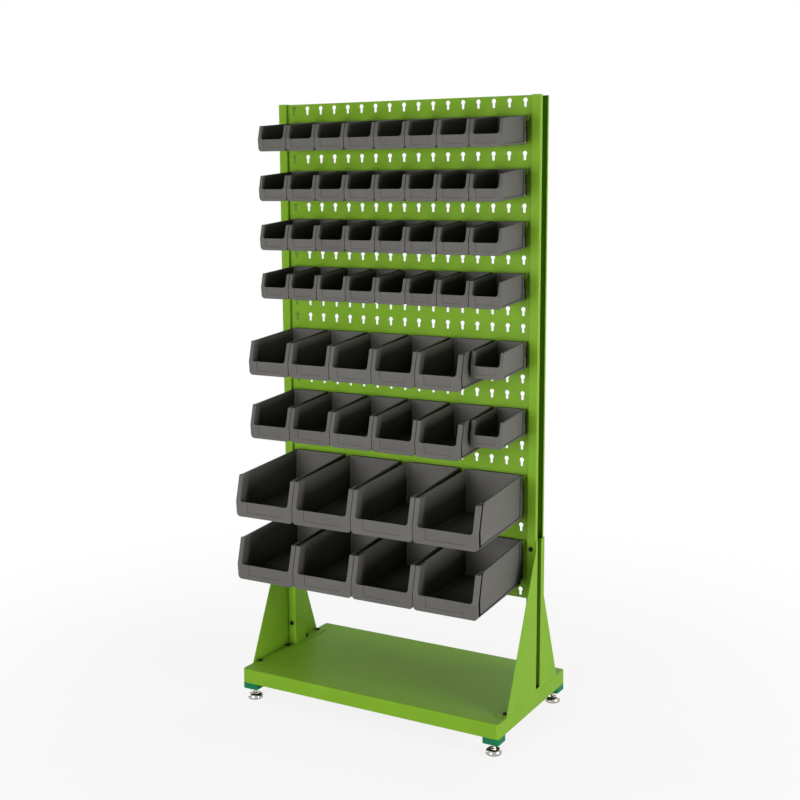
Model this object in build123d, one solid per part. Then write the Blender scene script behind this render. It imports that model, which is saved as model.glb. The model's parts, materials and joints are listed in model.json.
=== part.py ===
from build123d import *
import os
from math import ceil, cos, radians, sin, sqrt, tan

# A free-standing parts stand. A perforated steel panel stands between two channel posts,
# A-shaped side plates hold the posts on a folded base pan with levelling feet, and open
# plastic bins hang by their rear lips on rails that hook into the panel's keyholes.
# Lengths are in millimetres. Everything is laid out with the panel's front face at y = 0,
# the middle of the stand at x = 0 and the floor at z = 0. The origin moves under the
# middle of the whole stand when the pieces are written.

# Perforated panel, a shallow tray open to the rear
hole_pitch = 50.0
hole_columns = 17
hole_rows = 30
keyhole_round = 14.0
keyhole_slot = 8.0
keyhole_height = 27.0
panel_side_margin = 23.0
panel_end_margin = 20.0
panel_sheet = 1.5
panel_flange = 20.0
panel_above_base = 296.0

# Posts, channels that are open on their outer side
post_width = 30.0
post_depth = 60.0
post_sheet = 2.0
post_corner_radius = 3.0
post_front_lip = 12.0
post_rear_lip = 10.0
post_front_step = 10.0
post_above_panel = 1.0

# Side plates, with a fold that runs inside the post and a foot flange on the base
plate_sheet = 2.0
plate_height = 480.0
plate_front_knee = 451.0
plate_rear_knee = 297.0
plate_front_reach = 199.0
plate_rear_reach = 110.0
plate_edge_cover = 1.0
plate_slot_start = 12.0
plate_slot_width = 29.0
plate_slot_setback = 2.0
plate_fold_depth = 24.0
foot_flange_width = 40.0

# Base pan
base_front_reach = 265.0
base_depth = 490.0
base_flange = 46.0
base_sheet = 2.0
base_corner_radius = 9.0
base_edge_radius = 3.0

# Corner blocks under the base and the levelling feet in them
block_side = 54.0
block_drop = 19.0
block_corner_radius = 8.0
boss_side = 42.0
foot_inset = 28.0
foot_height = 38.0
foot_diameter = 48.0
foot_rim = 6.0
foot_dome = 10.0
foot_neck_diameter = 18.0
foot_hex_height = 6.0
foot_stud_engagement = 30.0
foot_bottom_chamfer = 1.5

# Bolts, nuts and rivets
bolt_diameter = 8.0
bolt_head_diameter = 14.0
bolt_head_height = 4.5
bolt_head_radius = 2.0
bolt_socket = 5.0
bolt_socket_depth = 2.5
bolt_end = 2.5
bolt_clearance = 0.3
nut_flats = 13.0
nut_height = 6.5
post_bolt_height_shares = (0.156, 0.556, 0.946)
foot_bolt_edge = 15.0
foot_bolt_front_end = 21.0
foot_bolt_rear_end = 13.0
foot_bolt_front_gap = 23.0
foot_bolt_rear_gap = 26.0
rivet_diameter = 4.8
rivet_head_diameter = 9.5
rivet_head_height = 1.6
rivet_tail_diameter = 7.5
rivet_tail_height = 3.0
rivet_clearance = 0.1
rivet_count = 5
rivet_end = 45.0

# Hanger rails, strips with a lip in front and studs in the keyholes, which they cover
rail_sheet = 1.5
rail_projection = 6.5
rail_lip = 13.0
rail_plate = 14.0
rail_end_clearance = 8.0
rail_lip_above_hole = 10.0
rail_hole_cover = 2.5
rail_stud_columns = 4
rail_stud_head = 2.0
rail_stud_clearance = 0.3

# Bins: outer width, depth and rear height, low front wall, front frame and the groove behind it
small_width = 101.5
small_depth = 171.0
small_height = 80.0
small_front = 36.0
small_frame = 10.0
small_groove = 0.0
medium_width = 145.5
medium_depth = 235.0
medium_height = 108.0
medium_front = 43.0
medium_frame = 12.0
medium_groove = 16.0
large_width = 206.6
large_depth = 323.0
large_height = 133.0
large_front = 48.0
large_frame = 15.0
large_groove = 22.0

# What all bins share
bin_gap = 1.8
bin_wall = 2.5
bin_floor = 2.5
bin_tilt_angle = 4.0
bin_rear_angle = 6.0
bin_top_angle = 1.2
bin_pillar_angle = 18.0
bin_side_angle = 1.2
bin_frame_depth = 9.0
bin_side_inset = 4.5
bin_corner_radius = 12.0
bin_inner_radius = 5.0
bin_mouth_radius = 9.0
bin_ledge_height = 7.0
bin_ledge_width = 3.0
bin_rim_height = 5.0
bin_rim_width = 2.0
bin_rear_band = 8.0
bin_rear_band_width = 3.0
bin_label_inset_share = 0.2
bin_label_bottom_share = 0.3
bin_label_depth = 1.2
bin_standoff = 12.0
bin_hook_width_share = 0.7
bin_hook_sheet = 2.0
bin_hook_lip = 10.0
bin_hook_gap = 2.5
bin_rib_thickness = 3.0
bin_rib_bottom_share = 0.92
bin_rib_gap = 0.4
bin_rib_margin = 2.0
bin_lift = 12.0
bin_hand_gap = 30.0

# Rows from the top: what hangs there, and the keyhole rows left free above the first
bin_rows = ("small", "small", "small", "small", "mixed", "mixed", "large", "large")
joined_rows = 1
free_hole_rows = 1

overrun = 1.0

# Places that follow from the sizes above
panel_width = (hole_columns - 1) * hole_pitch + 2 * panel_side_margin
panel_height = (hole_rows - 1) * hole_pitch + 2 * panel_end_margin
post_inner_x = panel_width / 2
post_outer_x = post_inner_x + post_width
plate_outer_x = post_outer_x + plate_sheet
base_width = 2 * plate_outer_x
post_front_y = -post_front_step
post_rear_y = post_front_y + post_depth
base_front_y = -base_front_reach
base_rear_y = base_front_y + base_depth
base_bottom_z = foot_height + block_drop
base_top_z = base_bottom_z + base_flange
post_bottom_z = base_top_z + plate_sheet
panel_bottom_z = base_top_z + panel_above_base
panel_top_z = panel_bottom_z + panel_height
post_top_z = panel_top_z + post_above_panel
first_hole_z = panel_top_z - panel_end_margin
post_middle_x = post_inner_x + post_width / 2
slot_front_y = post_front_y + post_front_lip - plate_slot_setback
slot_rear_y = slot_front_y + plate_slot_width
post_bolt_zs = [base_top_z + share * plate_height for share in post_bolt_height_shares]
foot_bolt_ys = (
    post_front_y - plate_front_reach + foot_bolt_front_end,
    post_front_y - foot_bolt_front_gap,
    post_rear_y + foot_bolt_rear_gap,
    post_rear_y + plate_rear_reach - foot_bolt_rear_end,
)
foot_bolt_x = plate_outer_x - foot_bolt_edge
bolt_hole_radius = bolt_diameter / 2 + bolt_clearance
rivet_hole_radius = rivet_diameter / 2 + rivet_clearance
rivet_y = panel_flange / 2
rivet_span = panel_height - 2 * rivet_end
rivet_zs = [panel_bottom_z + rivet_end + i * rivet_span / (rivet_count - 1) for i in range(rivet_count)]
foot_places = [
    (side * (base_width / 2 - foot_inset), y)
    for y in (base_front_y + foot_inset, base_rear_y - foot_inset)
    for side in (-1, 1)
]
slot_arc_drop = keyhole_height / 2 - keyhole_slot / 2
bin_top_above_hole = rail_lip_above_hole + bin_hook_sheet


class BinSize:
    """The sizes of one kind of bin, and what follows from them."""

    def __init__(self, width, depth, height, front, frame, groove):
        self.width = width
        self.depth = depth
        self.height = height
        self.front = front
        self.frame = frame
        self.groove = groove
        self.pitch = width + bin_gap
        self.wall_half = width / 2 - bin_side_inset
        self.rear_half = self.wall_half - depth * tan(radians(bin_side_angle))
        tilt = radians(bin_tilt_angle)
        self.drop = height * cos(tilt) + depth * sin(tilt)
        self.reach = bin_standoff + depth * cos(tilt) - (height - front) * sin(tilt)
        self.hole_steps = ceil((self.drop + bin_hand_gap) / hole_pitch)


bin_sizes = {
    "small": BinSize(small_width, small_depth, small_height, small_front, small_frame, small_groove),
    "medium": BinSize(medium_width, medium_depth, medium_height, medium_front, medium_frame, medium_groove),
    "large": BinSize(large_width, large_depth, large_height, large_front, large_frame, large_groove),
}
front_reach = max([base_front_reach] + [size.reach for size in bin_sizes.values()])
origin_y = (front_reach - base_rear_y) / 2


def block(x, y, z):
    """A box between two x, two y and two z values."""
    middle = [(low + high) / 2 for low, high in (x, y, z)]
    return Pos(*middle) * Box(x[1] - x[0], y[1] - y[0], z[1] - z[0])


def side_prism(points, half_width):
    """A prism across the stand, with its outline given as (y, z) points."""
    face = Plane.YZ * make_face(Polyline(*points, close=True))
    return extrude(face, amount=half_width, both=True)


def rod(radius, start, length, axis):
    """A cylinder from a start point along +X, +Y or +Z."""
    turn = {"x": Rot(Y=90), "y": Rot(X=-90), "z": Rot()}[axis]
    upright = Cylinder(radius, length, align=(Align.CENTER, Align.CENTER, Align.MIN))
    return Pos(*start) * turn * upright


def mirrored(solid):
    """The same piece on the other side of the stand."""
    return mirror(solid, about=Plane.YZ)


def keyhole():
    """Outline of one keyhole, with its middle at the origin."""
    round_radius = keyhole_round / 2
    half_slot = keyhole_slot / 2
    round_z = keyhole_height / 2 - round_radius
    joint_z = round_z - sqrt(round_radius**2 - half_slot**2)
    return Wire(
        [
            Line((-half_slot, joint_z), (-half_slot, -slot_arc_drop)),
            ThreePointArc(
                (-half_slot, -slot_arc_drop), (0, -keyhole_height / 2), (half_slot, -slot_arc_drop)
            ),
            Line((half_slot, -slot_arc_drop), (half_slot, joint_z)),
            ThreePointArc((half_slot, joint_z), (0, keyhole_height / 2), (-half_slot, joint_z)),
        ]
    )


def panel():
    """Perforated sheet with its four edges folded back."""
    middle_z = (panel_bottom_z + panel_top_z) / 2
    first_x = -(hole_columns - 1) * hole_pitch / 2
    top_hole = first_hole_z - middle_z
    one_hole = keyhole()
    holes = [
        one_hole.moved(Location((first_x + column * hole_pitch, top_hole - row * hole_pitch, 0)))
        for column in range(hole_columns)
        for row in range(hole_rows)
    ]
    field_width = panel_width - 2 * panel_sheet
    field_height = panel_height - 2 * panel_sheet
    field = Face(Wire.make_rect(field_width, field_height), holes)
    flanges = Rectangle(panel_width, panel_height) - Rectangle(field_width, field_height)
    back = (0, 0, -1)
    upright = Pos(0, 0, middle_z) * Rot(X=90)
    sheet = upright * extrude(field, amount=panel_sheet, dir=back)
    flanges = upright * extrude(flanges, amount=panel_flange, dir=back)
    for z in rivet_zs:
        flanges -= rod(rivet_hole_radius, (-panel_width, rivet_y, z), 2 * panel_width, "x")
    return sheet.fuse(flanges)


def post():
    """Right-hand post, a channel with a lip on each side of its opening."""
    middle_y = (post_front_y + post_rear_y) / 2
    inner_radius = max(post_corner_radius - post_sheet, post_sheet / 2)
    section = RectangleRounded(post_width, post_depth, post_corner_radius)
    section -= RectangleRounded(post_width - 2 * post_sheet, post_depth - 2 * post_sheet, inner_radius)
    opening = post_depth - post_front_lip - post_rear_lip
    opening_y = (post_front_lip - post_rear_lip) / 2
    section -= Pos(post_width / 2, opening_y) * Rectangle(post_width, opening)
    solid = extrude(section, amount=post_top_z - post_bottom_z)
    solid = Pos(post_middle_x, middle_y, post_bottom_z) * solid
    for z in post_bolt_zs:
        start = (post_middle_x, post_front_y - overrun, z)
        solid -= rod(bolt_hole_radius, start, post_depth + 2 * overrun, "y")
    for z in rivet_zs:
        solid -= rod(rivet_hole_radius, (post_inner_x - overrun, rivet_y, z), post_sheet + 2 * overrun, "x")
    return solid


def side_plate():
    """Right-hand side plate: two wings, a fold along the rear of the slot and a foot flange."""
    front_foot_y = post_front_y - plate_front_reach
    rear_foot_y = post_rear_y + plate_rear_reach
    front_edge_y = post_front_y - plate_edge_cover
    rear_edge_y = post_rear_y + plate_edge_cover
    top_z = base_top_z + plate_height
    slot_z = base_top_z + plate_slot_start
    outline = [
        (front_foot_y, base_top_z),
        (front_edge_y, base_top_z + plate_front_knee),
        (front_edge_y, top_z),
        (rear_edge_y, top_z),
        (rear_edge_y, base_top_z + plate_rear_knee),
        (rear_foot_y, base_top_z),
    ]
    wings = Pos(plate_outer_x - plate_sheet / 2, 0, 0) * side_prism(outline, plate_sheet / 2)
    inside = (plate_outer_x - plate_fold_depth, plate_outer_x)
    wings -= block(
        (post_outer_x - overrun, plate_outer_x + overrun),
        (slot_front_y, slot_rear_y),
        (slot_z, top_z + overrun),
    )
    wings += block(inside, (slot_rear_y - plate_sheet, slot_rear_y), (slot_z, top_z))
    wings += block(
        (plate_outer_x - foot_flange_width, plate_outer_x),
        (front_foot_y, rear_foot_y),
        (base_top_z, base_top_z + plate_sheet),
    )
    for z in post_bolt_zs:
        wings -= rod(bolt_hole_radius, (post_middle_x, post_front_y, z), post_depth, "y")
    for y in foot_bolt_ys:
        wings -= rod(bolt_hole_radius, (foot_bolt_x, y, base_top_z - overrun), plate_sheet + 2 * overrun, "z")
    return wings


def base_pan():
    """Top plate with a flange folded down on all four sides."""
    span_x = (-base_width / 2, base_width / 2)
    pan = block(span_x, (base_front_y, base_rear_y), (base_bottom_z, base_top_z))
    pan = fillet(pan.edges().filter_by(Axis.Z), base_corner_radius)
    pan = fillet(pan.faces().sort_by(Axis.Z)[-1].edges(), base_edge_radius)
    inside = block(
        (span_x[0] + base_sheet, span_x[1] - base_sheet),
        (base_front_y + base_sheet, base_rear_y - base_sheet),
        (base_bottom_z - overrun, base_top_z - base_sheet),
    )
    inside = fillet(inside.edges().filter_by(Axis.Z), base_corner_radius - base_sheet)
    inside = fillet(inside.faces().sort_by(Axis.Z)[-1].edges(), base_edge_radius - base_sheet)
    pan -= inside
    for x in (-foot_bolt_x, foot_bolt_x):
        for y in foot_bolt_ys:
            start = (x, y, base_top_z - base_sheet - overrun)
            pan -= rod(bolt_hole_radius, start, base_sheet + 2 * overrun, "z")
    return pan


def corner_block(x, y):
    """Block under one corner of the base, with a boss that reaches the top plate inside."""
    half = block_side / 2
    centre_x = (1 if x > 0 else -1) * (base_width / 2 - half)
    centre_y = base_front_y + half if y < (base_front_y + base_rear_y) / 2 else base_rear_y - half
    low = block(
        (centre_x - half, centre_x + half), (centre_y - half, centre_y + half), (foot_height, base_bottom_z)
    )
    low = fillet(low.edges().filter_by(Axis.Z), block_corner_radius)
    boss_half = boss_side / 2
    boss = block(
        (centre_x - boss_half, centre_x + boss_half),
        (centre_y - boss_half, centre_y + boss_half),
        (base_bottom_z, base_top_z - base_sheet),
    )
    boss = fillet(boss.edges().filter_by(Axis.Z), block_corner_radius)
    return low + boss - rod(bolt_hole_radius, (x, y, foot_height - overrun), base_flange + block_drop, "z")


def hex_prism(flats, height):
    """Hexagonal prism standing on the origin."""
    return extrude(RegularPolygon(flats / 2, 6, major_radius=False), amount=height)


def levelling_foot(x, y):
    """Round foot with a domed top, a hexagon to turn it by and a threaded stud."""
    radius = foot_diameter / 2
    neck = foot_neck_diameter / 2
    neck_z = foot_rim + foot_dome
    outline = [
        Line((0, 0), (radius - foot_bottom_chamfer, 0)),
        Line((radius - foot_bottom_chamfer, 0), (radius, foot_bottom_chamfer)),
        Line((radius, foot_bottom_chamfer), (radius, foot_rim)),
        TangentArc((radius, foot_rim), (neck, neck_z), tangent=(0, 1)),
        Line((neck, neck_z), (0, neck_z)),
        Line((0, neck_z), (0, 0)),
    ]
    disc = revolve(Plane.XZ * make_face(outline), Axis.Z)
    hexagon = Pos(0, 0, neck_z) * hex_prism(nut_flats, foot_hex_height)
    stud = rod(bolt_diameter / 2, (0, 0, neck_z), foot_height + foot_stud_engagement - neck_z, "z")
    return Pos(x, y, 0) * (disc + hexagon + stud)


def bolt(length):
    """Button-head bolt with a hexagon socket, its shank pointing down from the origin."""
    head = rod(bolt_head_diameter / 2, (0, 0, 0), bolt_head_height, "z")
    head = fillet(head.edges().sort_by(Axis.Z)[-1], bolt_head_radius)
    socket = Pos(0, 0, bolt_head_height - bolt_socket_depth) * hex_prism(bolt_socket, bolt_head_height)
    return head - socket + rod(bolt_diameter / 2, (0, 0, -length), length, "z")


def nut():
    """Hexagon nut standing on the origin."""
    bore = rod(bolt_hole_radius, (0, 0, -overrun), nut_height + 2 * overrun, "z")
    return hex_prism(nut_flats, nut_height) - bore


def frame_bolts_and_nuts():
    """Long bolts through the posts, short ones through the foot flanges, and all hexagon nuts."""
    long_bolt = bolt(post_depth + nut_height + bolt_end)
    short_bolt = bolt(plate_sheet + base_sheet + nut_height + bolt_end)
    one_nut = nut()
    bolts, nuts = [], []
    for side in (-1, 1):
        for z in post_bolt_zs:
            bolts.append(Pos(side * post_middle_x, post_front_y, z) * Rot(X=90) * long_bolt)
            nuts.append(Pos(side * post_middle_x, post_rear_y, z) * Rot(X=-90) * one_nut)
        for y in foot_bolt_ys:
            bolts.append(Pos(side * foot_bolt_x, y, post_bottom_z) * short_bolt)
            nuts.append(Pos(side * foot_bolt_x, y, base_top_z - base_sheet - nut_height) * one_nut)
    for x, y in foot_places:
        nuts.append(Pos(x, y, foot_height - nut_height) * one_nut)
    return bolts, nuts


def rivets():
    """Blind rivets that hold the panel's side flanges to the posts' webs."""
    grip = post_sheet + panel_sheet
    flange_x = post_inner_x - panel_sheet
    web_x = post_inner_x + post_sheet
    solids = []
    for z in rivet_zs:
        rivet = rod(rivet_diameter / 2, (flange_x, rivet_y, z), grip, "x")
        tail = (flange_x - rivet_tail_height, rivet_y, z)
        rivet += rod(rivet_tail_diameter / 2, tail, rivet_tail_height, "x")
        rivet += rod(rivet_head_diameter / 2, (web_x, rivet_y, z), rivet_head_height, "x")
        solids += [rivet, mirrored(rivet)]
    return solids


def hanger_rail(hole_z):
    """Strip on the panel with studs in the keyholes, and a shelf with a lip to hang bins on."""
    lip_top = hole_z + rail_lip_above_hole
    shelf_bottom = lip_top - rail_lip
    shelf_top = shelf_bottom + rail_sheet
    plate_bottom = shelf_bottom - rail_plate
    plate_top = hole_z + keyhole_height / 2 + rail_hole_cover
    section = [
        (-rail_projection, lip_top),
        (rail_sheet - rail_projection, lip_top),
        (rail_sheet - rail_projection, shelf_top),
        (-rail_sheet, shelf_top),
        (-rail_sheet, plate_top),
        (0, plate_top),
        (0, plate_bottom),
        (-rail_sheet, plate_bottom),
        (-rail_sheet, shelf_bottom),
        (-rail_projection, shelf_bottom),
    ]
    rail = side_prism(section, panel_width / 2 - rail_end_clearance)
    stud_z = hole_z - slot_arc_drop
    shank = keyhole_slot / 2 - rail_stud_clearance
    head = keyhole_round / 2 - rail_stud_clearance
    for column in range(0, hole_columns, rail_stud_columns):
        x = (column - (hole_columns - 1) / 2) * hole_pitch
        head_y = panel_sheet + rail_stud_clearance
        rail += rod(shank, (x, -rail_sheet, stud_z), rail_sheet + head_y, "y")
        rail += rod(head, (x, head_y, stud_z), rail_stud_head, "y")
    return rail


def tapered(half_front, size, top, bottom):
    """A block as deep as the bin that narrows to the rear, between two heights."""
    half_rear = half_front - size.depth * tan(radians(bin_side_angle))
    corners = [(-half_front, -size.depth), (half_front, -size.depth), (half_rear, 0), (-half_rear, 0)]
    face = Pos(0, 0, bottom) * make_face(Polyline(*corners, close=True))
    return extrude(face, amount=top - bottom)


def strip(line, start, depth):
    """Outline of a strip that runs behind a line of (y, z) points."""
    near = [(y + start, z) for y, z in line]
    far = [(y + start + depth, z) for y, z in reversed(line)]
    return near + far


def rounded_below(solid):
    """A hollow's solid with all edges rounded except those of its open top."""
    top_edges = solid.faces().sort_by(Axis.Z)[-1].edges()
    return fillet([edge for edge in solid.edges() if edge not in top_edges], bin_inner_radius)


def bin_shell(size):
    """Moulded shell with its level top rear edge at the origin and its floor level."""
    width, depth, height = size.width, size.depth, size.height
    top_drop = depth * tan(radians(bin_top_angle))
    pillar_lean = (height - top_drop - size.front) * tan(radians(bin_pillar_angle))
    rear_lean = height * tan(radians(bin_rear_angle))
    rear_top = (0, 0)
    front_top = (pillar_lean - depth, -top_drop)
    wall_top = (-depth, size.front - height)
    front_bottom = (-depth, -height)
    rear_bottom = (-rear_lean, -height)
    wall_half, rear_half = size.wall_half, size.rear_half
    mouth_half = width / 2 - size.frame

    walls = tapered(wall_half, size, 0, -height)
    walls += tapered(wall_half + bin_ledge_width, size, bin_ledge_height - height, -height)
    walls &= side_prism([rear_top, front_top, wall_top, front_bottom, rear_bottom], width / 2)
    rim = side_prism(
        [rear_top, front_top, (front_top[0], front_top[1] - bin_rim_height), (0, -bin_rim_height)], width / 2
    )
    rim &= tapered(wall_half + bin_rim_width, size, 0, -height)
    front_line = [front_bottom, wall_top, front_top]
    frame = side_prism(strip(front_line, 0, bin_frame_depth), width / 2)
    rear_band = side_prism(
        [rear_top, rear_bottom, (rear_bottom[0] - bin_rear_band, -height), (-bin_rear_band, 0)],
        rear_half + bin_rear_band_width,
    )
    outside = block((-width / 2, width / 2), (-depth - overrun, overrun), (-height, overrun))
    outside = fillet(outside.edges().filter_by(Axis.Y).group_by(Axis.Z)[0], bin_corner_radius)
    shell = (walls + rim + frame + rear_band) & outside

    if size.groove:
        groove_half = (width / 2 - mouth_half - bin_wall) / 2
        groove_line = [(-depth, bin_ledge_height - height), wall_top, front_top]
        groove = side_prism(strip(groove_line, bin_frame_depth, size.groove), groove_half)
        for side in (-1, 1):
            shell -= Pos(side * (width / 2 - groove_half), 0, 0) * groove
    pillar_depth = bin_frame_depth + (size.groove + bin_wall if size.groove else 0)
    hollow = [
        (-bin_wall, overrun),
        (bin_wall - depth, overrun),
        (bin_wall - depth, bin_floor - height),
        (-rear_lean - bin_wall, bin_floor - height),
    ]
    room = side_prism(hollow, width / 2) & tapered(wall_half - bin_wall, size, 2 * overrun, -height)
    room = rounded_below(room)
    room -= side_prism(strip(front_line + [(front_top[0], 2 * overrun)], 0, pillar_depth), width)
    entry = side_prism(hollow, mouth_half) & tapered(mouth_half, size, 2 * overrun, -height)
    entry = rounded_below(entry)
    mouth = block(
        (-mouth_half, mouth_half),
        (-depth - overrun, pillar_lean + pillar_depth - depth),
        (size.front - height, overrun),
    )
    mouth = fillet(mouth.edges().filter_by(Axis.Y).group_by(Axis.Z)[0], bin_mouth_radius)
    label_half = width / 2 - bin_label_inset_share * width
    label = block(
        (-label_half, label_half),
        (-depth - overrun, bin_label_depth - depth),
        (bin_label_bottom_share * size.front - height, size.front - height + overrun),
    )
    return shell - room - entry - mouth - label


def hanging_bin(size):
    """The shell tipped forwards, with its hook and the ribs that rest on the panel."""
    solid = Rot(X=bin_tilt_angle) * bin_shell(size)
    hook_half = bin_hook_width_share * size.width / 2
    hook_back = bin_standoff - bin_hook_gap
    solid += block((-hook_half, hook_half), (-bin_wall, hook_back), (-bin_hook_sheet, 0))
    solid += block(
        (-hook_half, hook_half), (hook_back - bin_hook_sheet, hook_back), (-bin_hook_sheet - bin_hook_lip, 0)
    )
    rib_top = bin_hook_sheet + rail_lip + rail_plate + bin_lift + bin_rib_margin
    rib_bottom = bin_rib_bottom_share * size.height
    wall_slope = tan(radians(bin_rear_angle - bin_tilt_angle))
    rib = side_prism(
        [
            (-rib_top * wall_slope - bin_wall / 2, -rib_top),
            (bin_standoff - bin_rib_gap, -rib_top),
            (bin_standoff - bin_rib_gap, -rib_bottom),
            (-rib_bottom * wall_slope - bin_wall / 2, -rib_bottom),
        ],
        bin_rib_thickness / 2,
    )
    rib_x = size.rear_half + bin_rear_band_width - bin_rib_thickness / 2
    for x in (-rib_x, rib_x):
        solid += Pos(x, 0, 0) * rib
    return solid


def row_layout(kind):
    """Which bins hang in a row, as (size name, x of its middle), from left to right."""
    small, medium, large = (bin_sizes[name] for name in ("small", "medium", "large"))
    if kind == "mixed":
        names = ["medium"] * int((panel_width - small.pitch) // medium.pitch) + ["small"]
    else:
        names = [kind] * int(panel_width // bin_sizes[kind].pitch)
    left = -sum(bin_sizes[name].pitch for name in names) / 2
    layout = []
    for name in names:
        pitch = bin_sizes[name].pitch
        layout.append((name, left + pitch / 2))
        left += pitch
    return layout


def row_heights():
    """Height of the keyhole row that carries each row of bins."""
    needs = [bin_sizes["medium" if kind == "mixed" else kind].hole_steps for kind in bin_rows]
    hole_row = free_hole_rows
    heights = []
    for index, need in enumerate(needs):
        if index:
            hole_row += max(need, needs[index - 1])
        heights.append(first_hole_z - hole_row * hole_pitch)
    return heights


def write(name, solids):
    """Save one named piece, or a group of like pieces, in the stand's own frame."""
    moved = [Pos(0, origin_y, 0) * solid for solid in solids]
    export_step(moved[0] if len(moved) == 1 else Compound(children=moved), f"parts/{name}.step")


os.makedirs("parts", exist_ok=True)
right_post = post()
right_plate = side_plate()
bolts, nuts = frame_bolts_and_nuts()
heights = row_heights()
write("base_pan", [base_pan()])
write("side_plate_right", [right_plate])
write("side_plate_left", [mirrored(right_plate)])
write("post_right", [right_post])
write("post_left", [mirrored(right_post)])
write("perforated_panel", [panel()])
write("panel_rivets", rivets())
write("frame_bolts", bolts)
write("hex_nuts", nuts)
write("corner_blocks", [corner_block(x, y) for x, y in foot_places])
for name, place in zip(("front_left", "front_right", "rear_left", "rear_right"), foot_places):
    write(f"levelling_foot_{name}", [levelling_foot(*place)])
write("hanger_rails", [hanger_rail(hole_z) for hole_z in heights])

bin_models = {name: hanging_bin(size) for name, size in bin_sizes.items()}
for row, (kind, hole_z) in enumerate(zip(bin_rows, heights), start=1):
    top_z = hole_z + bin_top_above_hole
    hung = [(name, Pos(x, -bin_standoff, top_z) * bin_models[name]) for name, x in row_layout(kind)]
    if row <= joined_rows:
        write(f"{kind}_bins_row{row}", [solid for name, solid in hung])
        continue
    for number, (name, solid) in enumerate(hung, start=1):
        write(f"{name}_bin_row{row}_{number}", [solid])
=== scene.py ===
import json
import math
import bpy
from mathutils import Matrix, Vector


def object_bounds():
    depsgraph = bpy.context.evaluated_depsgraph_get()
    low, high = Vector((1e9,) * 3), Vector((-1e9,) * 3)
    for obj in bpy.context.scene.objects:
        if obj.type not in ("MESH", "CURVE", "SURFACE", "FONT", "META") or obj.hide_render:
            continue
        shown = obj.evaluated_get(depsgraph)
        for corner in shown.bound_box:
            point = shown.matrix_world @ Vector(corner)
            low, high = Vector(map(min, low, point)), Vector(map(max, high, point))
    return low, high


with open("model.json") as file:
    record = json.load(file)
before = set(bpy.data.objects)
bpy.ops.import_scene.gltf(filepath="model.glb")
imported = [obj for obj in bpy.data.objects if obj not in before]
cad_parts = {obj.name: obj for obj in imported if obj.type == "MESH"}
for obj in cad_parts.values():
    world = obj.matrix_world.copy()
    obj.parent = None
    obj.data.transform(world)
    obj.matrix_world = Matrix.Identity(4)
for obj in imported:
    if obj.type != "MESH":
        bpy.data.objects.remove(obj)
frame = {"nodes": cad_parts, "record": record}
cad_low, cad_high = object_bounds()
nodes = frame["nodes"]
scene = bpy.context.scene

# Finishes, in metres: rounding of sharp edges, reach of the painted shade in hollows, depth of the
# relief
paint_edge, plastic_edge, metal_edge = 0.0012, 0.0010, 0.0006
paint_shade_reach, plastic_shade_reach = 0.05, 0.12
paint_peel, plastic_grain, metal_scratch = 0.0005, 0.0003, 0.0002

# Rays sent out where edges are rounded and hollows are found
edge_samples, hollow_samples = 4, 6

# Sockets of the Mix node for colours, whose names repeat
mix_share, mix_first, mix_second, mix_result = 0, 6, 7, 2


def grey(level):
    return (level, level, level, 1.0)


def tint(colour, factor=1.0):
    """A colour made darker or lighter by a factor, with full alpha."""
    return (*(factor * channel for channel in colour), 1.0)


white, black = grey(1.0), grey(0.0)


class Tree:
    """Short calls for building the node tree of a material or a world."""

    def __init__(self, owner):
        owner.use_nodes = True
        self.nodes = owner.node_tree.nodes
        self.links = owner.node_tree.links
        self.nodes.clear()

    def add(self, kind, inputs=None, **settings):
        """A node with its settings. An input takes a value or another node's output."""
        node = self.nodes.new(kind)
        for key, value in settings.items():
            setattr(node, key, value)
        for key, value in (inputs or {}).items():
            if isinstance(value, bpy.types.NodeSocket):
                self.links.new(value, node.inputs[key])
            else:
                node.inputs[key].default_value = value
        return node

    def maths(self, operation, a, b):
        return self.add("ShaderNodeMath", {0: a, 1: b}, operation=operation).outputs["Value"]

    def span(self, source, low, high, start=0.0, end=1.0, **settings):
        """Runs from low to high while the source runs from start to end."""
        ends = {"From Min": start, "From Max": end, "To Min": low, "To Max": high}
        return self.add("ShaderNodeMapRange", {"Value": source, **ends}, **settings).outputs["Result"]

    def seen(self):
        """1 for what the camera sees straight, in a reflection or through a pane, otherwise 0."""
        path = self.add("ShaderNodeLightPath")
        mask = path.outputs["Is Camera Ray"]
        for ray in ("Is Glossy Ray", "Is Transmission Ray"):
            mask = self.maths("MAXIMUM", mask, path.outputs[ray])
        return mask

    def mixed(self, share, plain, shown):
        """Two shaders mixed by a share."""
        inputs = {0: share, 1: plain.outputs[0], 2: shown.outputs[0]}
        return self.add("ShaderNodeMixShader", inputs).outputs["Shader"]


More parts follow.
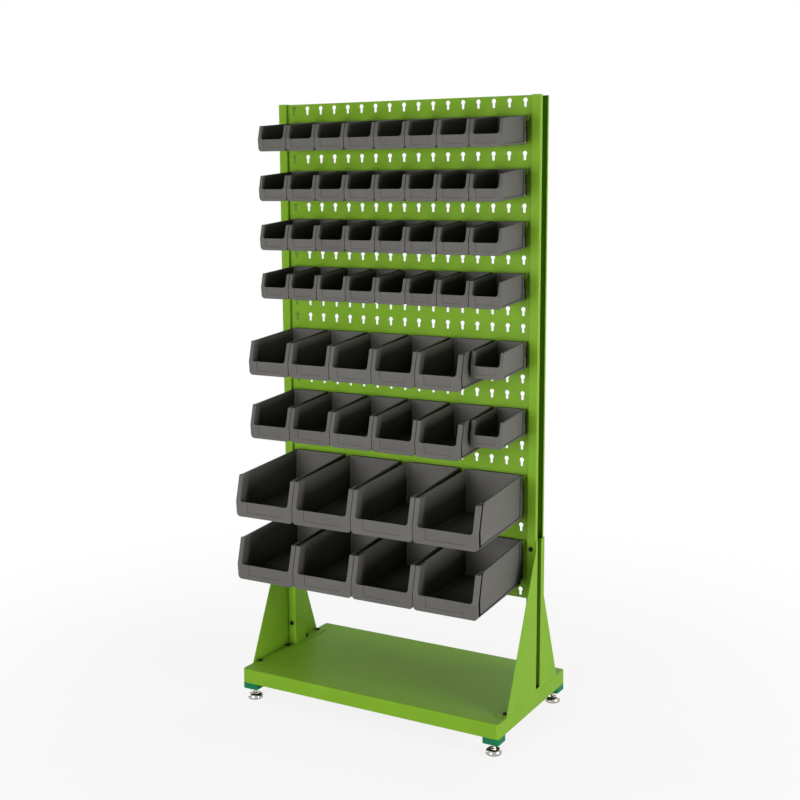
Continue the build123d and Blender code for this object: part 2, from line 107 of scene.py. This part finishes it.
class Finish(Tree):
    """The tree of one piece's material, with patterns that lie in the piece's own coordinates."""

    def __init__(self, name):
        self.material = bpy.data.materials.new(name)
        super().__init__(self.material)
        self.place = self.add("ShaderNodeTexCoord").outputs["Object"]

    def stretched(self, x, y, z):
        mapping = self.add("ShaderNodeMapping", {"Vector": self.place, "Scale": (x, y, z)})
        return mapping.outputs["Vector"]

    def noise(self, scale, detail, roughness=0.5, vector=None, distortion=0.0):
        pattern = {"Scale": scale, "Detail": detail, "Roughness": roughness, "Distortion": distortion}
        inputs = {"Vector": vector or self.place, **pattern}
        return self.add("ShaderNodeTexNoise", inputs).outputs["Fac"]

    def ramp(self, source, start, end, first, last=white):
        """Runs from the first to the last colour while the source runs from start to end."""
        ramp = self.add("ShaderNodeValToRGB", {"Fac": source})
        stops = zip(ramp.color_ramp.elements, (start, end), (first, last))
        for point, position, colour in stops:
            point.position = position
            point.color = colour
        return ramp.outputs["Color"]

    def mix(self, share, first, second, blend="MIX"):
        inputs = {mix_share: share, mix_first: first, mix_second: second}
        node = self.add("ShaderNodeMix", inputs, data_type="RGBA", blend_type=blend)
        return node.outputs[mix_result]

    def darkened(self, tone, source, start, end, deepest):
        """The tone times a shade that clears up while the source runs from start to end."""
        return self.mix(1.0, tone, self.ramp(source, start, end, deepest), "MULTIPLY")

    def hollows(self, distance):
        """1 on open faces, falling towards 0 deep in a hollow or corner: the mask of the painted shade.
        """
        inputs = {"Distance": distance}
        node = self.add("ShaderNodeAmbientOcclusion", inputs, samples=hollow_samples)
        return node.outputs["AO"]

    def relief(self, height, strength, depth, edge):
        """A normal with a pattern's relief, on faces whose sharp edges are rounded."""
        rounded = self.add("ShaderNodeBevel", {"Radius": edge}, samples=edge_samples)
        inputs = {"Height": height, "Strength": strength, "Distance": depth}
        inputs["Normal"] = rounded.outputs["Normal"]
        return self.add("ShaderNodeBump", inputs).outputs["Normal"]

    def surface(self, colour, roughness, normal, constants):
        inputs = {"Base Color": colour, "Roughness": roughness, "Normal": normal, **constants}
        shader = self.add("ShaderNodeBsdfPrincipled", inputs)
        self.add("ShaderNodeOutputMaterial", {"Surface": shader.outputs["BSDF"]})
        return self.material


def powder_coat(name, colour):
    """Sprayed and baked paint: fine orange peel, faint clouds of tone, painted shade in corners."""
    t = Finish(name)
    clouds = t.noise(scale=9.0, detail=2.0)
    tone = t.mix(clouds, tint(colour, 0.9), tint(colour, 1.06))
    specks = t.noise(scale=900.0, detail=1.0)
    tone = t.darkened(tone, specks, start=0.30, end=0.60, deepest=grey(0.93))
    # Painted shade: the paint colour is darkened in corners, creases and recesses where shade falls
    painted_corner_shade = t.hollows(paint_shade_reach)
    tone = t.darkened(tone, painted_corner_shade, start=0.20, end=0.62, deepest=grey(0.30))
    rough = t.span(t.noise(scale=26.0, detail=3.0), low=0.42, high=0.54)
    peel = t.noise(scale=420.0, detail=2.0, roughness=0.45)
    normal = t.relief(peel, strength=0.06, depth=paint_peel, edge=paint_edge)
    return t.surface(tone, rough, normal, {"Specular IOR Level": 0.10})


def moulded_plastic(name, colour):
    """Injection-moulded polypropylene: fine grain, flow clouds, pale scuffs, painted shade in hollows.
    """
    t = Finish(name)
    along_flow = t.stretched(1.0, 0.5, 1.6)
    flow = t.noise(scale=14.0, detail=4.0, roughness=0.55, vector=along_flow, distortion=0.6)
    tone = t.mix(flow, tint(colour, 0.86), tint(colour, 1.1))
    own_shade = t.span(t.add("ShaderNodeObjectInfo").outputs["Random"], low=0.94, high=1.05)
    tone = t.mix(1.0, tone, own_shade, "MULTIPLY")
    along_rub = t.stretched(1.0, 0.18, 2.2)
    rubs = t.noise(scale=60.0, detail=6.0, roughness=0.7, vector=along_rub, distortion=1.2)
    scuffs = t.maths("MULTIPLY", t.ramp(rubs, start=0.66, end=0.74, first=black), 0.10)
    tone = t.mix(scuffs, tone, tint(colour, 1.5))
    # Painted shade: the plastic colour is darkened inside the bins and in recesses where shade falls
    painted_hollow_shade = t.hollows(plastic_shade_reach)
    tone = t.darkened(tone, painted_hollow_shade, start=0.28, end=0.78, deepest=tint((0.28, 0.28, 0.27)))
    rough = t.span(t.noise(scale=120.0, detail=3.0), low=0.44, high=0.58)
    grain = t.noise(scale=1500.0, detail=2.0, roughness=0.6)
    normal = t.relief(grain, strength=0.18, depth=plastic_grain, edge=plastic_edge)
    return t.surface(tone, rough, normal, {"Specular IOR Level": 0.18})


def metal(name, colour, smooth, dull, streak=(1.0, 1.0, 1.0), strength=0.05):
    """Bare or plated metal with drawn streaks and patches of dullness."""
    t = Finish(name)
    lines = t.noise(scale=700.0, detail=3.0, roughness=0.6, vector=t.stretched(*streak))
    tone = t.mix(lines, tint(colour, 0.88), tint(colour))
    patches = t.noise(scale=45.0, detail=4.0)
    rough = t.span(t.mix(0.5, lines, patches), low=smooth, high=dull)
    normal = t.relief(lines, strength, depth=metal_scratch, edge=metal_edge)
    return t.surface(tone, rough, normal, {"Metallic": 1.0})


def black_oxide(name):
    """Blackened steel with a thin oily sheen."""
    t = Finish(name)
    clouds = t.noise(scale=180.0, detail=4.0)
    tone = t.mix(clouds, tint((0.005, 0.005, 0.006)), tint((0.014, 0.013, 0.012)))
    rough = t.span(t.noise(scale=420.0, detail=3.0), low=0.40, high=0.55)
    normal = t.relief(clouds, strength=0.12, depth=metal_scratch, edge=metal_edge)
    return t.surface(tone, rough, normal, {"Specular IOR Level": 0.1})


looks = {
    "green_paint": powder_coat("green_powder_coat", (0.184, 0.366, 0.019)),
    "teal_paint": powder_coat("teal_powder_coat", (0.006, 0.160, 0.065)),
    "grey_plastic": moulded_plastic("grey_moulded_plastic", (0.106, 0.102, 0.093)),
    "zinc_steel": metal(
        "zinc_plate", (0.17, 0.18, 0.20), smooth=0.34, dull=0.52, streak=(0.06, 1.0, 1.0)
    ),
    "rivet_metal": metal("rivet_aluminium", (0.52, 0.52, 0.52), smooth=0.32, dull=0.48),
    "chrome_foot": metal(
        "chrome_plate", (0.46, 0.43, 0.41), smooth=0.05, dull=0.12, streak=(1.0, 1.0, 0.1), strength=0.02
    ),
    "black_steel": black_oxide("black_oxide"),
}
for part in frame["record"]["subparts"]:
    piece = nodes[part["node"]]
    piece.data.materials.clear()
    piece.data.materials.append(looks[part["material_slot"]])


def look_along(azimuth, elevation, roll):
    """Rotation of a camera that stands at an azimuth and looks down by an elevation, in degrees."""
    a, e, r = (math.radians(v) for v in (azimuth, elevation, roll))
    right = Vector((math.cos(a), math.sin(a), 0.0))
    ahead = Vector((-math.sin(a) * math.cos(e), math.cos(a) * math.cos(e), -math.sin(e)))
    up = right.cross(ahead)
    right, up = math.cos(r) * right + math.sin(r) * up, -math.sin(r) * right + math.cos(r) * up
    return Matrix((right, up, -ahead)).transposed()


# The photo's camera: its place in metres, its direction in degrees, its lens and axis in pixels
picture_side = 800.0
camera_place = (1.9173, -3.3011, 1.6238)
camera_azimuth, camera_elevation, camera_roll = 29.08, 8.81, -0.148
lens_pixels = 1255.1
axis_pixel_x, axis_pixel_y = 419.9, 383.9

camera = bpy.data.objects.new("camera", bpy.data.cameras.new("camera"))
scene.collection.objects.link(camera)
scene.camera = camera
camera.location = camera_place
camera.rotation_mode = "QUATERNION"
camera_turn = look_along(camera_azimuth, camera_elevation, camera_roll)
camera.rotation_quaternion = camera_turn.to_quaternion()
camera.data.lens = lens_pixels / picture_side * camera.data.sensor_width
camera.data.shift_x = (picture_side / 2 - axis_pixel_x) / picture_side
camera.data.shift_y = (axis_pixel_y - picture_side / 2) / picture_side

# Square soft lamps round the stand, in metres
lamp_distance = 5.0
lamp_size = 2.2


def lamp(name, azimuth, elevation, level):
    """A lamp in a direction from the stand's middle that lights a white card there to a level."""
    a, e = math.radians(azimuth), math.radians(elevation)
    towards = Vector((math.sin(a) * math.cos(e), -math.cos(a) * math.cos(e), math.sin(e)))
    light = bpy.data.lights.new(name, "AREA")
    light.size = lamp_size
    light.energy = level * (math.pi * lamp_distance) ** 2
    item = bpy.data.objects.new(name, light)
    scene.collection.objects.link(item)
    item.location = (cad_low + cad_high) / 2 + lamp_distance * towards
    item.rotation_mode = "QUATERNION"
    item.rotation_quaternion = (-towards).to_track_quat("-Z", "Y")


lamp("front", azimuth=-6.0, elevation=0.0, level=0.80)
lamp("right", azimuth=84.0, elevation=2.0, level=0.80)
lamp("left", azimuth=-92.0, elevation=2.0, level=0.36)
lamp("rear", azimuth=178.0, elevation=6.0, level=0.50)


def studio_world(ambient_level):
    """Even dim light all round, which shows as white paper."""
    scene.world = bpy.data.worlds.new("studio")
    t = Tree(scene.world)
    ambient = t.add("ShaderNodeBackground", {"Color": white, "Strength": ambient_level})
    paper = t.add("ShaderNodeBackground", {"Color": white, "Strength": 1.0})
    t.add("ShaderNodeOutputWorld", {"Surface": t.mixed(t.seen(), ambient, paper)})


def paper_floor(reach, near, far, whiteness, shadow_share):
    """White paper floor that keeps a faint shadow near the stand and fades into the background."""
    mesh = bpy.data.meshes.new("floor")
    painted_corner_shade = [(x * reach, y * reach, 0.0) for x, y in ((-1, -1), (1, -1), (1, 1), (-1, 1))]
    mesh.from_pydata(painted_corner_shade, [], [(0, 1, 2, 3)])
    floor = bpy.data.objects.new("floor", mesh)
    scene.collection.objects.link(floor)
    look = bpy.data.materials.new("floor_paper")
    mesh.materials.append(look)
    t = Tree(look)
    plain = t.add("ShaderNodeBsdfDiffuse", {"Color": grey(whiteness)})
    glow = t.add("ShaderNodeEmission", {"Color": white, "Strength": 1.0})
    place = t.add("ShaderNodeNewGeometry").outputs["Position"]
    distance = t.add("ShaderNodeVectorMath", {0: place}, operation="LENGTH").outputs["Value"]
    least, most = 1.0 - shadow_share, 1.0
    fade = t.span(distance, least, most, near, far, interpolation_type="SMOOTHSTEP")
    share = t.maths("MULTIPLY", t.seen(), fade)
    t.add("ShaderNodeOutputMaterial", {"Surface": t.mixed(share, plain, glow)})


studio_world(ambient_level=0.14)
paper_floor(reach=14.0, near=0.7, far=2.4, whiteness=0.86, shadow_share=0.15)
scene.view_settings.view_transform = "Standard"
